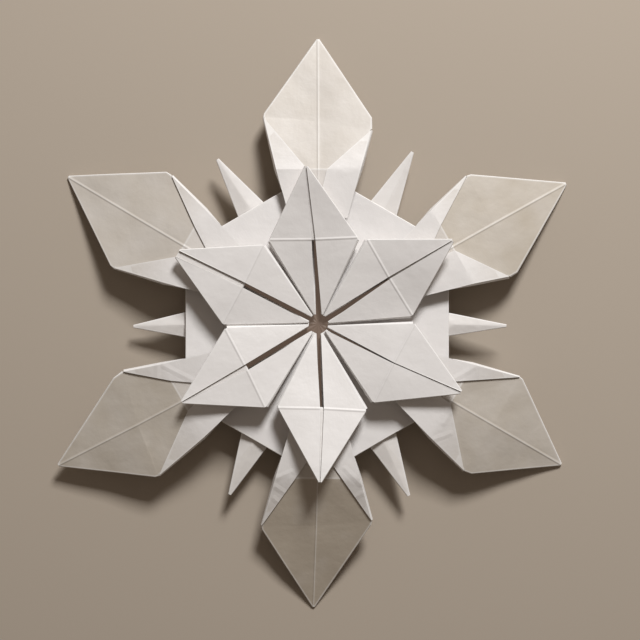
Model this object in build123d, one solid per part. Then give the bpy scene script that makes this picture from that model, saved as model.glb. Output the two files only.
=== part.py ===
"""A folded paper snowflake: one hexagonal sheet, folded flat and never cut.

Six pointed arms reach out from a hexagonal plate, and six thin spikes leave the plate
between them. Six petals stand on the plate, each over the root of an arm, with a slit
along its middle. All of it is a single sheet, so all of it is a single solid.

The sheet is built as flat panels that share named corners. A fold is a narrow strip that
joins the edges of two panels, one lying above the other. The panels are then given the
thickness of paper.

Frame: +Z up, the arms' tips on Z = 0, the first arm along +Y.
"""
from build123d import *
from math import atan2, cos, degrees, hypot, radians, sin, tan
import os

# The sheet itself
paper = 0.12
layer_gap = 0.34
corner_relief = 0.45

# Arms: a kite-shaped end on a narrow neck, all distances from the middle of the sheet
tip_reach = 60.6
tip_half = 0.35
wide_reach = 42.6
wide_half = 11.6
wide_cut = 0.5
neck_reach = 32.3
neck_half = 8.8
flap_inner_half = 5.0

# Plate, and the spikes that come out from under its sides
plate_reach = 27.8
spike_reach = 40.5
spike_half = 2.8
spike_tip_half = 0.4

# Petals: tip, hinge and half width at the hinge, and the slit along the middle
petal_reach = 32.5
petal_tip_half = 0.3
petal_hinge = 17.6
petal_half = 9.2
petal_slip = 0.65
slit_half = 0.6
hinge_slit_half = 0.4
seam_half = 0.12
heart_radius = 2.4
foot_half = 0.3

# Heights of the middle and of the arms' wide corners off the table
centre_lift = 4.6
wide_lift = 4.8
# How far the folds spring open: at the neck, at the petal's hinge and at its tip
neck_lift = 2.0
hinge_lift = 2.5
petal_lift = 4.2
# How far a spike's end hangs below its foot, and an arm's tip stands off the table
spike_drop = 0.8
tip_lift = 2.6

# Arms, spikes and sectors
arm_count = 6
sector = 360 / arm_count
first_arm = 90

# How far each arm, spike and petal was folded off its true direction, in degrees
arm_swings = (0.1, -0.4, -1.5, -1.0, -0.1, -0.5)
spike_swings = (1.6, 0.8, 2.5, -2.3, -0.6, 1.3)
petal_swings = (4.5, 3.5, -0.2, 0.6, 4.4, 1.8)
petal_turns = (1.5, 2.9, -3.2, -2.2, 2.7, 0.7)

# Each one's share of a size above, counted round from the first arm
arm_reach_shares = (1.0, 1.02, 1.033, 0.995, 0.985, 1.0)
tip_lift_shares = (0, 0, 1.0, 0, 0, 0)
spike_reach_shares = (1.005, 0.966, 1.002, 1.012, 0.974, 1.02)
spike_drop_shares = (0.7, 2.0, 1.0, 1.0, 0, 0.7)
hinge_lift_shares = (0.7, 1.05, 1.3, 1.1, 1.15, 0.7)
petal_lift_shares = (1.0, 0.8, 0.85, 1.35, 0.9, 1.2)
petal_slip_shares = (1.6, 1.2, 0.5, 1.15, 1.2, 1.4)
slit_shares = (1.15, 1.0, 1.1, 0.9, 0.6, 1.15)
hinge_slit_shares = (1.0, 1.4, 1.6, 1.0, 0.3, 0.6)
seam_shares = (1.0, 7.0, 1.0, 1.0, 2.0, 1.0)
# The same for an arm's two sides, its left one first
wide_cut_shares = ((1.0, 2.4), (1.0, 2.6), (1.0, 3.0), (1.2, 1.2), (1.0, 2.2), (1.2, 2.0))
flap_shares = ((0.44, 0.34), (0.5, 0.9), (0.45, 0.95), (1.0, 0.9), (0.95, 0.1), (1.0, 0.15))

# How far outside the plate's side the neck's own folds end
sleeve_gap = 0.6

# Layers above the back of the sheet
spike_front_layer = 1
plate_under_layer = 2
plate_layer = 3
petal_under_layer = 4
root_layer = 5
flap_layer = 6
tongue_layer = 7
petal_layer = 8

# Where the neck's flaps end under the petal, between its hinge and its tip
flap_end_share = 0.3
# Where the slit ends, inside the plate's corner
slit_end_share = 0.95
# How wide the gap between the flaps still is at the neck's root
flap_root_share = 0.4
# How far a tucked edge stays inside the fold around it
tuck_share = 0.93


class Sheet:
    """Corners by name, and the triangles between them."""

    def __init__(self):
        self.points = {}
        self.triangles = []

    def corner(self, name, point):
        self.points[name] = point
        return name

    def panel(self, *names):
        """A flat panel, its corners in order, cut into triangles from its first corner."""
        for second, third in zip(names[1:], names[2:]):
            self.triangles.append((names[0], second, third))

    def fold(self, lower, upper):
        """The strip that joins two panels' edges, both given as corners in the same order."""
        for step in range(len(lower) - 1):
            self.triangles.append((lower[step], lower[step + 1], upper[step + 1]))
            self.triangles.append((lower[step], upper[step + 1], upper[step]))


def turned(axial, lateral, height, angle):
    """A point given along and across a direction, turned to that direction."""
    along, across = cos(radians(angle)), sin(radians(angle))
    return Vector(axial * along - lateral * across, axial * across + lateral * along, height)


def between(first, second, share):
    """The value a share of the way from one to the other."""
    return first + (second - first) * share


def share_past(value, start, end):
    """How far a value has come from one place to another, from none to all of the way."""
    return min(max((value - start) / (end - start), 0), 1)


# The neck's sides run from the middle of the sheet, and a spike's sides run in to meet them
neck_slope = neck_half / neck_reach
neck_angle = degrees(atan2(neck_half, neck_reach))
spike_slope = spike_half / (spike_reach - plate_reach)
notch_slope = tan(radians(sector / 2 - neck_angle))
notch_reach = spike_slope * spike_reach / (notch_slope + spike_slope)
notch_half = notch_reach * notch_slope
notch_radius = hypot(notch_reach, notch_half)

# The plate's corners lie on the arms' axes, and its sides cross the necks a little inside them
plate_corner = plate_reach / cos(radians(sector / 2))
slit_end = plate_corner * slit_end_share
root_radius = (plate_reach + sleeve_gap) / cos(radians(sector / 2 - neck_angle))
root_reach = root_radius * cos(radians(neck_angle))
root_half = root_reach * neck_slope


def arm_height(number, axial, layer):
    """How high a layer of an arm lies.

    The plate's corner holds the neck's layers apart, and they spring open over it. From the
    neck to the wide corners they close up, until only the front and the flap lie on the back.
    From there the arm slopes down to its tip.
    """
    closing_share = share_past(axial, neck_reach, wide_reach)
    slope_share = share_past(axial, wide_reach, tip_reach)
    tip_height = paper / 2 + tip_lift * tip_lift_shares[number]
    height = between(between(centre_lift, wide_lift, closing_share), tip_height, slope_share)
    if layer < root_layer:
        return height + layer * layer_gap
    hinge_height = hinge_lift * hinge_lift_shares[number]
    sprung = between(hinge_height, neck_lift, share_past(axial, petal_hinge, neck_reach))
    closed_layer = layer - root_layer + 1
    return height + between(layer * layer_gap + sprung, closed_layer * layer_gap, closing_share)


def arm_point(number, axial, lateral, layer):
    """A point of an arm; one that was folded askew turns more and more towards its tip."""
    pull_share = share_past(axial, notch_radius, tip_reach)
    reach = axial * between(1, arm_reach_shares[number], pull_share)
    angle = first_arm + number * sector + arm_swings[number] * pull_share
    return turned(reach, lateral, arm_height(number, axial, layer), angle)


def spike_point(number, axial, lateral, layer):
    """A point of the spike after an arm, or of the plate's side over that spike."""
    in_spike = layer <= spike_front_layer
    pull_share = share_past(axial, notch_reach, spike_reach) if in_spike else 0
    reach = axial * between(1, spike_reach_shares[number], pull_share)
    drop = spike_drop * spike_drop_shares[number] * pull_share
    angle = first_arm + (number + 1 / 2) * sector + spike_swings[number] * pull_share
    return turned(reach, lateral, centre_lift + layer * layer_gap - drop, angle)


def petal_point(number, axial, lateral, layer):
    """A point of a petal, whose hinge line slipped and turned a little and whose tip swung."""
    inner_share = share_past(axial, heart_radius, petal_hinge)
    outer_share = share_past(axial, petal_hinge, petal_reach)
    hinge_height = hinge_lift * hinge_lift_shares[number]
    tip_height = petal_lift * petal_lift_shares[number]
    sprung = between(hinge_height * inner_share, tip_height, outer_share)
    slip = petal_slip * petal_slip_shares[number] * inner_share
    swung = petal_reach * tan(radians(petal_swings[number]))
    turn = tan(radians(petal_turns[number])) * inner_share * (1 - outer_share)
    height = centre_lift + layer * layer_gap + sprung
    across = lateral + between(slip, swung, outer_share)
    return turned(axial - lateral * turn, across, height, first_arm + number * sector)


def along_edge(start, end, distance):
    """The point of an edge at a distance from its start, both ends given as pairs."""
    share = distance / hypot(end[0] - start[0], end[1] - start[1])
    return between(start[0], end[0], share), between(start[1], end[1], share)


def arm_half(sheet, number, side):
    """One half of an arm: its back, its front and the flap folded over the front."""

    def put(name, axial, lateral, layer):
        return sheet.corner((number, side, name), arm_point(number, axial, side * lateral, layer))

    def middle(name, axial, layer):
        return sheet.corner((number, name), arm_point(number, axial, 0, layer))

    hand = 0 if side > 0 else 1
    cut = wide_cut * wide_cut_shares[number][hand]
    tip = (tip_reach, tip_half)
    wide = (wide_reach, wide_half)
    neck = (neck_reach, neck_half)
    wide_outer = along_edge(wide, tip, cut)
    wide_inner = along_edge(wide, neck, cut)

    # Back, from the middle of the sheet to the tip
    centre = sheet.corner("centre", Vector(0, 0, centre_lift))
    back_notch = middle("back_notch", notch_radius, 0)
    back_root = middle("back_root", root_reach, 0)
    back_neck = middle("back_neck", neck_reach, 0)
    back_wide = middle("back_wide", wide_reach, 0)
    back_tip = middle("back_tip", tip_reach, 0)
    notch = sheet.corner((number, side, "notch"), notch_point(number, side, 0))
    root_edge = put("root_edge", root_reach, root_half, 0)
    neck_edge = put("neck_edge", *neck, 0)
    wide_edge_inner = put("wide_edge_inner", *wide_inner, 0)
    wide_edge_outer = put("wide_edge_outer", *wide_outer, 0)
    tip_edge = put("tip_edge", *tip, 0)
    sheet.panel(centre, back_notch, notch)
    sheet.panel(back_notch, back_root, root_edge, notch)
    sheet.panel(back_root, back_neck, neck_edge, root_edge)
    sheet.panel(back_neck, back_wide, wide_edge_inner, neck_edge)
    sheet.panel(back_wide, wide_edge_outer, wide_edge_inner)
    sheet.panel(back_wide, back_tip, tip_edge, wide_edge_outer)

    # Front, from the tip in to the petal's hinge, tucked under the flap beside the neck
    front_tip = middle("front_tip", tip_reach, root_layer)
    front_wide = middle("front_wide", wide_reach, root_layer)
    front_neck = middle("front_neck", neck_reach, root_layer)
    front_root = middle("front_root", root_reach, root_layer)
    front_tip_edge = put("front_tip_edge", *tip, root_layer)
    front_wide_outer = put("front_wide_outer", *wide_outer, root_layer)
    front_wide_inner = put("front_wide_inner", wide_inner[0], wide_inner[1] * tuck_share, root_layer)
    front_neck_edge = put("front_neck_edge", neck_reach, neck_half * tuck_share, root_layer)
    front_root_edge = put("front_root_edge", root_reach, root_half * tuck_share, root_layer)
    hinge_middle = sheet.corner((number, "hinge"), petal_point(number, petal_hinge, 0, root_layer))
    hinge_edge = sheet.corner(
        (number, side, "hinge"),
        petal_point(number, petal_hinge, side * (petal_half - corner_relief), root_layer))
    sheet.panel(front_wide, front_tip, front_tip_edge, front_wide_outer)
    sheet.panel(front_wide, front_wide_outer, front_wide_inner)
    sheet.panel(front_neck, front_wide, front_wide_inner, front_neck_edge)
    sheet.panel(front_root, front_neck, front_neck_edge, front_root_edge)
    sheet.panel(hinge_middle, front_root, front_root_edge, hinge_edge)
    sheet.fold((tip_edge, wide_edge_outer), (front_tip_edge, front_wide_outer))

    # Flap, folded from the neck's side over the front, its raw edge running in to the axis
    inner_half = flap_inner_half * flap_shares[number][hand]
    end_reach = between(petal_hinge, petal_reach, flap_end_share)
    flap_wide = put("flap_wide", *wide_inner, flap_layer)
    flap_neck = put("flap_neck", *neck, flap_layer)
    flap_root = put("flap_root", root_reach, root_half, flap_layer)
    flap_end = put("flap_end", end_reach, end_reach * neck_slope, flap_layer)
    flap_end_middle = put("flap_end_middle", end_reach, seam_half, flap_layer)
    flap_root_middle = put("flap_root_middle", root_reach, seam_half + inner_half * flap_root_share, flap_layer)
    flap_neck_middle = put("flap_neck_middle", neck_reach, seam_half + inner_half, flap_layer)
    sheet.panel(flap_neck_middle, flap_wide, flap_neck)
    sheet.panel(flap_root_middle, flap_neck_middle, flap_neck, flap_root)
    sheet.panel(flap_end_middle, flap_root_middle, flap_root, flap_end)
    sheet.fold((wide_edge_inner, neck_edge, root_edge), (flap_wide, flap_neck, flap_root))


def notch_point(number, side, layer):
    """Where the side of an arm's neck meets the side of a spike."""
    spike = number if side > 0 else number - 1
    return spike_point(spike, notch_reach, -side * notch_half, layer)


def spike_half_panels(sheet, number, side):
    """One half of a spike and of the plate over it, on the given side of arm number."""
    spike = number if side > 0 else (number - 1) % arm_count

    def put(name, axial, lateral, layer):
        return sheet.corner((number, side, name), spike_point(spike, axial, -side * lateral, layer))

    def middle(name, axial, layer):
        return sheet.corner(("spike", spike, name), spike_point(spike, axial, 0, layer))

    notch = (notch_reach, notch_half)
    spike_tip = (spike_reach, spike_tip_half)
    notch_outer = along_edge(notch, spike_tip, corner_relief)

    # Back of the spike, and the front folded over it
    centre = "centre"
    back_notch = (number, side, "notch")
    back_base = middle("back_base", notch_reach, 0)
    back_tip = middle("back_tip", spike_reach, 0)
    back_tip_edge = put("spike_back_tip", *spike_tip, 0)
    back_notch_outer = put("spike_back_notch", *notch_outer, 0)
    sheet.panel(centre, back_notch, back_base)
    sheet.panel(back_base, back_notch, back_notch_outer)
    sheet.panel(back_base, back_notch_outer, back_tip_edge, back_tip)
    front_base = middle("front_base", notch_reach, spike_front_layer)
    front_tip = middle("front_tip", spike_reach, spike_front_layer)
    front_tip_edge = put("spike_front_tip", *spike_tip, spike_front_layer)
    front_notch_outer = put("spike_front_notch", *notch_outer, spike_front_layer)
    front_notch_inner = put("spike_front_base", notch_reach, notch_half - corner_relief, spike_front_layer)
    sheet.panel(front_base, front_notch_inner, front_notch_outer)
    sheet.panel(front_base, front_notch_outer, front_tip_edge, front_tip)
    sheet.fold((back_notch_outer, back_tip_edge), (front_notch_outer, front_tip_edge))

    # Under layer of the plate, out from the foot of the spike to the plate's side
    under_base = middle("under_base", notch_reach, plate_under_layer)
    under_side = middle("under_side", plate_reach, plate_under_layer)
    side_half = plate_reach * tan(radians(sector / 2)) - corner_relief
    under_notch = put("under_notch", notch_reach, notch_half - corner_relief, plate_under_layer)
    under_corner = put("under_corner", plate_reach, side_half, plate_under_layer)
    sheet.panel(under_base, under_notch, under_corner, under_side)
    sheet.fold((front_base, front_notch_inner), (under_base, under_notch))

    # Top of the plate, and the slit's edge near the arm's axis
    plate_side = middle("plate_side", plate_reach, plate_layer)
    plate_heart = middle("plate_heart", heart_radius, plate_layer)
    plate_corner_side = put("plate_corner_side", plate_reach, side_half, plate_layer)
    slit_inner = slit_corner(sheet, number, side, "plate_slit", heart_radius, plate_layer)
    slit_outer = slit_corner(sheet, number, side, "plate_corner", slit_end, plate_layer)
    sheet.panel(plate_side, plate_heart, slit_inner, slit_outer, plate_corner_side)
    sheet.fold((under_side, under_corner), (plate_side, plate_corner_side))

    # The layer under the petal, folded back over the plate from the slit
    under_inner = slit_corner(sheet, number, side, "under_slit", heart_radius, petal_under_layer)
    under_outer = slit_corner(sheet, number, side, "under_slit_end", slit_end, petal_under_layer)
    sheet.fold((slit_inner, slit_outer), (under_inner, under_outer))


def slit_corner(sheet, number, side, name, axial, layer):
    """A corner beside the slit, which narrows from the middle of the sheet to the hinge."""
    share = share_past(axial, heart_radius, petal_hinge)
    hinge_half = hinge_slit_half * hinge_slit_shares[number]
    half = between(slit_half * slit_shares[number], hinge_half, share)
    slip = petal_slip * petal_slip_shares[number] * share
    angle = first_arm + number * sector
    point = turned(axial, slip + side * half, centre_lift + layer * layer_gap, angle)
    return sheet.corner((number, side, name), point)


def petal_half_panels(sheet, number, side):
    """One half of a petal: top, the tongue under its tip and the layer under its foot."""

    def put(name, axial, lateral, layer):
        return sheet.corner((number, side, name), petal_point(number, axial, side * lateral, layer))

    def middle(name, axial, layer):
        return sheet.corner((number, name), petal_point(number, axial, 0, layer))

    inner_half = slit_half * slit_shares[number]
    seam = seam_half * seam_shares[number]
    foot = (heart_radius, inner_half + foot_half)
    corner = (petal_hinge, petal_half)
    tip = (petal_reach, petal_tip_half + seam)
    corner_inner = along_edge(corner, foot, corner_relief)
    corner_outer = along_edge(corner, tip, corner_relief)

    # Layer under the foot, from the slit's edge to the petal's side
    under_inner = (number, side, "under_slit")
    under_outer = (number, side, "under_slit_end")
    under_foot = put("under_foot", *foot, petal_under_layer)
    under_corner = put("under_petal_corner", *corner_inner, petal_under_layer)
    sheet.panel(under_inner, under_outer, under_corner, under_foot)

    # Top: the foot lies back over that layer, and the tip rises from the hinge line
    foot_layer = petal_under_layer + 1
    top_foot = put("top_foot", *foot, foot_layer)
    top_slit = put("top_slit", heart_radius, inner_half, foot_layer)
    top_hinge = put("top_hinge", petal_hinge, hinge_slit_half * hinge_slit_shares[number], petal_layer)
    top_corner_inner = put("top_corner_inner", *corner_inner, petal_layer)
    top_corner_outer = put("top_corner_outer", *corner_outer, petal_layer)
    top_tip = put("top_tip", *tip, petal_layer)
    top_seam = put("top_seam", petal_reach, seam, petal_layer)
    sheet.panel(top_slit, top_hinge, top_corner_inner, top_foot)
    sheet.panel(top_hinge, top_corner_outer, top_corner_inner)
    sheet.panel(top_hinge, top_seam, top_tip, top_corner_outer)
    sheet.fold((under_foot, under_corner), (top_foot, top_corner_inner))

    # Tongue under the tip, hinged to the arm's front
    tongue_hinge = middle("tongue_hinge", petal_hinge, tongue_layer)
    tongue_tip = middle("tongue_tip", petal_reach, tongue_layer)
    tongue_edge = put("tongue_edge", petal_hinge, petal_half - corner_relief, tongue_layer)
    tongue_corner = put("tongue_corner", *corner_outer, tongue_layer)
    tongue_side = put("tongue_side", *tip, tongue_layer)
    sheet.panel(tongue_hinge, tongue_edge, tongue_corner)
    sheet.panel(tongue_hinge, tongue_corner, tongue_side, tongue_tip)
    sheet.fold((tongue_corner, tongue_side), (top_corner_outer, top_tip))
    sheet.fold(((number, "hinge"), (number, side, "hinge")), (tongue_hinge, tongue_edge))


def facing_alike(triangles):
    """The same triangles, each turned so that neighbours keep to one side of the paper."""
    neighbours = {}
    for index, names in enumerate(triangles):
        for first, second in zip(names, names[1:] + names[:1]):
            neighbours.setdefault(frozenset((first, second)), []).append(index)
    turned_triangles = {0: triangles[0]}
    waiting = [0]
    while waiting:
        names = turned_triangles[waiting.pop()]
        for first, second in zip(names, names[1:] + names[:1]):
            for index in neighbours[frozenset((first, second))]:
                if index in turned_triangles:
                    continue
                other = triangles[index]
                runs_same_way = (first, second) in zip(other, other[1:] + other[:1])
                turned_triangles[index] = other[::-1] if runs_same_way else other
                waiting.append(index)
    return [turned_triangles[index] for index in range(len(triangles))]


def paper_offsets(points, triangles):
    """For each corner, the step from the middle of the paper to its upper face."""
    normals = {name: [] for name in points}
    for names in triangles:
        first, second, third = (points[name] for name in names)
        normal = (second - first).cross(third - first).normalized()
        for name in names:
            normals[name].append(normal)
    offsets = {}
    passes = 60
    for name, around in normals.items():
        step = Vector(0, 0, 0)
        for _ in range(passes):
            for normal in around:
                step += normal * (paper / 2 - normal.dot(step))
        offsets[name] = step
    return offsets


def paper_solid(sheet):
    """The solid between the two faces of the paper, closed along its raw edges."""
    triangles = facing_alike(sheet.triangles)
    used = {name for names in triangles for name in names}
    points = {name: sheet.points[name] for name in used}
    offsets = paper_offsets(points, triangles)
    upper = {name: points[name] + offsets[name] for name in points}
    lower = {name: points[name] - offsets[name] for name in points}
    faces = []

    def add_face(*corners):
        faces.append(Face(Wire.make_polygon(corners, close=True)))

    directed = set()
    for names in triangles:
        add_face(*(upper[name] for name in names))
        add_face(*(lower[name] for name in reversed(names)))
        directed.update(zip(names, names[1:] + names[:1]))
    for first, second in directed:
        if (second, first) in directed:
            continue
        add_face(upper[first], lower[first], lower[second])
        add_face(upper[first], lower[second], upper[second])
    return Solid(Shell(faces))


def make_snowflake():
    sheet = Sheet()
    for number in range(arm_count):
        for side in (1, -1):
            arm_half(sheet, number, side)
            spike_half_panels(sheet, number, side)
            petal_half_panels(sheet, number, side)
    solid = paper_solid(sheet).clean()
    box = solid.bounding_box()
    middle = box.center()
    return solid.moved(Location((-middle.X, -middle.Y, -box.min.Z)))


os.makedirs("parts", exist_ok=True)
export_step(make_snowflake(), "parts/snowflake.step")
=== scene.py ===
from math import atan2, cos, degrees, hypot, pi, radians, sin, tan

import bpy
import numpy as np
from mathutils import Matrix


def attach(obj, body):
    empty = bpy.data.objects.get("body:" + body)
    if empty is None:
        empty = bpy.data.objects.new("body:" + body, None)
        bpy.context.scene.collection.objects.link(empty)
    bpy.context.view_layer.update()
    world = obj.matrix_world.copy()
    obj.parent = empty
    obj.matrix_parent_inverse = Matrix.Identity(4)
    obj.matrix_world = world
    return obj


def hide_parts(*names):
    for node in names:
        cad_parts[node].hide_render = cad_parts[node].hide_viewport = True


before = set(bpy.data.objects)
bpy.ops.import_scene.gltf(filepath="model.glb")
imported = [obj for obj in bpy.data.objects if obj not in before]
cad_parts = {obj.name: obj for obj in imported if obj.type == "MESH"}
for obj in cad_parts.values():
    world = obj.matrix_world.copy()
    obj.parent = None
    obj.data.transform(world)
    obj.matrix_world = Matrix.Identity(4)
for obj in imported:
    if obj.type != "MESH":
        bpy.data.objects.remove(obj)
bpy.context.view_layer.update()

# Sizes of the folded sheet, in millimetres, and shares of them. They are the part's or near it;
# where they differ, they follow the photograph more closely.
MM = 0.001
PAPER = 0.11
LAYER_GAP = 0.34
RELIEF = 0.2
TIP_REACH = 60.6
TIP_HALF = 0.15
WIDE_REACH = 42.6
WIDE_HALF = 11.6
WIDE_CUT = 0.45
NECK_REACH = 32.3
NECK_HALF = 8.8
FLAP_INNER_HALF = 5.0
WAIST_HALF = 5.4
PLATE_REACH = 27.8
SPIKE_REACH = 40.5
SPIKE_HALF = 2.9
SPIKE_TIP_HALF = 0.18
PETAL_REACH = 32.6
PETAL_TIP_HALF = 0.15
PETAL_HINGE = 17.6
PETAL_HALF = 9.2
PETAL_SLIP = 0.65
SLIT_HALF = 0.6
HINGE_SLIT_HALF = 0.4
SEAM_HALF = 0.1
HEART_RADIUS = 2.0
FOOT_HALF = 0.2
SLEEVE_GAP = 0.4
SLIT_END_SHARE = 0.95
FLAP_END_SHARE = 0.3
FLAP_ROOT_SHARE = 0.4
TUCK_SHARE = 0.93
WIDE_TUCK_SHARE = 0.985
WAIST_SHARE = 0.42

# Heights off the table, in millimetres, and how far the folds spring open
CENTRE_LIFT = 4.6
NECK_LIFT = 1.5
HINGE_LIFT = 2.1
PETAL_LIFT = 4.2
PETAL_RIDGE = 0.1
SPIKE_DROP = 0.8
SPIKE_RIDGE = 0.55
TIP_LIFT = 2.6

# Layers above the back of the sheet
SPIKE_FRONT = 1
PLATE_UNDER = 2
PLATE = 3
PETAL_UNDER = 4
ROOT = 5
FLAP = 6
TONGUE = 7
PETAL = 8

# Arms and sectors, in degrees
ARM_COUNT = 6
SECTOR = 360 / ARM_COUNT
FIRST_ARM = 90

# What each arm, spike or petal has of its own, going round from the first arm. Swings and turns
# are in degrees, cups in millimetres, and the others are shares of a size or of a painted shade.
# Where an arm has a pair, the first is for its left side, looking out from the middle.
MARKS = {name: np.array(values, float) for name, values in {
    "arm_swing": (0.1, -0.4, -1.5, -1.0, -0.1, -0.5),
    "spike_swing": (1.6, 0.8, 2.5, -2.3, -0.6, 1.3),
    "petal_swing": (4.5, 3.5, -0.2, 0.6, 4.4, 1.8),
    "petal_turn": (1.5, 2.9, -3.2, -2.2, 2.7, 0.7),
    "arm_reach": (1.0, 1.02, 1.033, 0.995, 0.985, 1.0),
    "arm_cup": (-0.4, 0.0, 0.6, -0.3, 0.5, 0.4),
    # Each arm's painted shade: darker where the arm slopes away from the light and lies in the petals'
    # shadow
    "arm_painted_shade": (0.68, 0.8, 1.02, 1.4, 0.92, 1.05),
    "tip_lift": (0, 0, 1.0, 0, 0, 0),
    "spike_reach": (1.005, 0.966, 1.002, 1.012, 0.974, 1.02),
    "spike_drop": (0.7, 2.0, 1.0, 1.0, -1.6, 0.7),
    "hinge_lift": (0.7, 1.05, 1.3, 1.1, 1.15, 0.7),
    "petal_lift": (1.0, 0.8, 0.85, 1.35, 0.9, 1.2),
    "petal_slip": (1.6, 1.2, 0.5, 1.15, 1.2, 1.4),
    "slit": (1.15, 1.0, 1.1, 0.9, 0.6, 1.15),
    "hinge_slit": (1.0, 1.4, 1.6, 1.0, 0.3, 0.6),
    "seam": (1.0, 7.0, 0.8, 0.8, 1.4, 1.0),
    "spike_half": (1.0, 0.88, 1.0, 1.0, 0.77, 1.0),
    "plate_reach": (1.0, 1.0, 1.0, 1.0, 0.98, 1.0),
    "wide_reach": ((1.03, 1.0), (1.012, 1.008), (1.04, 0.965),
                   (0.98, 1.012), (1.01, 1.015), (1.008, 0.96)),
    "wide_cut": ((1.0, 1.8), (1.0, 0.8), (1.0, 3.0), (1.2, 1.2), (1.0, 2.2), (1.2, 1.8)),
    "neck_cut": ((1.0, 4.5), (1.0, 2.6), (1.0, 3.0), (1.2, 1.2), (1.0, 2.2), (1.2, 2.8)),
    "flap": ((0.44, 0.34), (0.5, 0.9), (0.45, 0.95), (1.0, 0.9), (0.95, 0.1), (1.0, 0.15)),
}.items()}

# How finely the paper is divided, and how its folds are rounded
FACET_LENGTH = 1.9
FOLD_STEPS = 4
FOLD_BULGE_SHARE = 0.32
FOLD_BULGE_MOST = 0.4
FOLD_END_SHARE = 0.1
SHARP_ANGLE = 14
FAR = 99.0
WELD_GAP = 0.002 * MM

# Corners on the border between two sectors, where the paper runs on
BORDER_CORNERS = ("centre", "back_base", "spike_out", "spike_tip", "front_base", "front_out",
                  "front_spike_tip", "under_base", "under_side", "plate_side", "plate_heart")

# The paper's buckles: height in metres, how many to a metre, and the noise behind them
BUCKLE_HEIGHT = 1.2 * MM
BUCKLES_PER_METRE = 60.0
BUCKLE_SEED = 3.0
BUCKLE_DETAIL = 1.0
NOISE_MIDDLE = 1 / 2

# The panels, each numbered by its place, and the tone of each: a painted see-through tone, standing for the
# table's brown and the shade under thin paper where few layers lie
PANELS = ("strip", "back", "front", "neck", "root", "flap",
          "spike", "plate_under", "plate", "petal_under", "petal", "tongue")
TONES = {"front": 0.8, "neck": 0.45, "root": 0.1, "flap": 0.04,
         "tongue": 0.12, "petal": 0.02, "spike": 0.18, "back": 0.28}
# The tone that paints shade on the floors of the slits, and the painted see-through tone a flap gains past
# the neck
SLIT_SHADE_TONE = 2.0
FLAP_SEE_THROUGH_GAIN = 0.42

# Crimps in the necks' flaps: both ends of each, in millimetres from the middle of the sheet
CRIMPS = (
    (-8.9, -34.1, -6.3, -35.9), (-9.3, -36.6, -7.4, -38.4), (-8.6, -32.2, -5.6, -30.9),
    (5.6, -30.2, 8.7, -33.4), (7.1, -36.6, 9.1, -35.5), (24.3, -24.1, 27.6, -22.9),
    (-33.6, -8.6, -33.7, -12.1), (-32.3, -8.7, -26.5, -11.7), (33.5, -7.6, 33.6, -12.4),
    (28.5, -11.4, 32.6, -9.1), (26.2, -20.7, 27.6, -18.6),
)
CRIMP_REACH = 0.8 * MM
# The tones between which the crimps fade out
CRIMP_FADE = (0.45, 0.6)

# The paper's colours, some of them painted: see-through tan, shade on the slits' floors, highlights on edges
# and creases, and the slits' glow
WHITE = (0.81, 0.78, 0.762, 1)
TAN = (0.47, 0.41, 0.33, 1)
SLIT_SHADE_COLOUR = (0.12, 0.085, 0.065, 1)
HIGHLIGHT_COLOUR = (0.86, 0.84, 0.82, 1)
NO_GLOW = (0.0, 0.0, 0.0, 1)
# The painted glow of the slits' floors, and its strength
PAINTED_SLIT_GLOW = (0.085, 0.06, 0.045, 1)
GLOW_STRENGTH = 1.0

# Three noises in the paper: the scale and detail of each
CLOUD = (140.0, 3.0)
WRINKLE = (330.0, 4.0)
FIBRE = (2600.0, 2.0)

# How the tone and the roughness vary with a noise: the least of each, and what it may gain
TONE_LEAST = 0.7
TONE_GAIN = 0.6
ROUGHNESS_LEAST = 0.42
ROUGHNESS_GAIN = 0.2

# Painted highlights along edges and creases: where each starts and ends to fade, in millimetres, and its
# strength
EDGE_FADE = (0.05, 0.3)
EDGE_HIGHLIGHT = 0.5
CREASE_FADE = (0.02, 0.16)
CREASE_HIGHLIGHT = 0.45

# Relief of the paper's surface: the creases' reach, the others' heights against theirs, the bump
RIDGE_FADE = (0.0, 0.4)
CRIMP_HEIGHT = 0.8
FIBRE_HEIGHT = 0.12
WRINKLE_HEIGHT = 1.4
BUMP_STRENGTH = 0.7
BUMP_DISTANCE = 0.12 * MM

# The colour sockets of a Mix node: its share, first and second inputs, and its output
MIX_SHARE = 0
MIX_FIRST = 6
MIX_SECOND = 7
MIX_OUTPUT = 2

# Light and floor: lengths in metres, the light's direction in degrees
LIGHT_TURN = 72
LIGHT_RISE = 40
LIGHT_DISTANCE = 0.65
LIGHT_SIZE = 0.16
LIGHT_POWER = 4.55
ROOM_STRENGTH = 0.15
ROOM_COLOUR = (1.0, 0.84, 0.7, 1)
FLOOR_REACH = 2.0
FLOOR_COLOUR = (0.44, 0.375, 0.305, 1)
FLOOR_ROUGHNESS = 0.8

# Camera: its height in metres, a pixel of the photograph and the sensor in millimetres, and its
# shift from the sheet's middle in pixels, to the right and up the picture
CAMERA_HEIGHT = 0.38
PICTURE_PIXELS = 640
PIXEL = 0.2134
SENSOR = 36
CAMERA_SHIFT = (1.5, 3.8)


def between(first, second, share):
    """The value a share of the way from one to the other."""
    return first + (second - first) * share


def share_past(value, start, end):
    """How far a value has come from one place to another, from none to all of the way."""
    return min(max((value - start) / (end - start), 0), 1)


def mark(name, number):
    """An arm's own value; the plain sector, which has no number, has the mean of them all."""
    return MARKS[name].mean(axis=0) if number is None else MARKS[name][number % ARM_COUNT]


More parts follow.
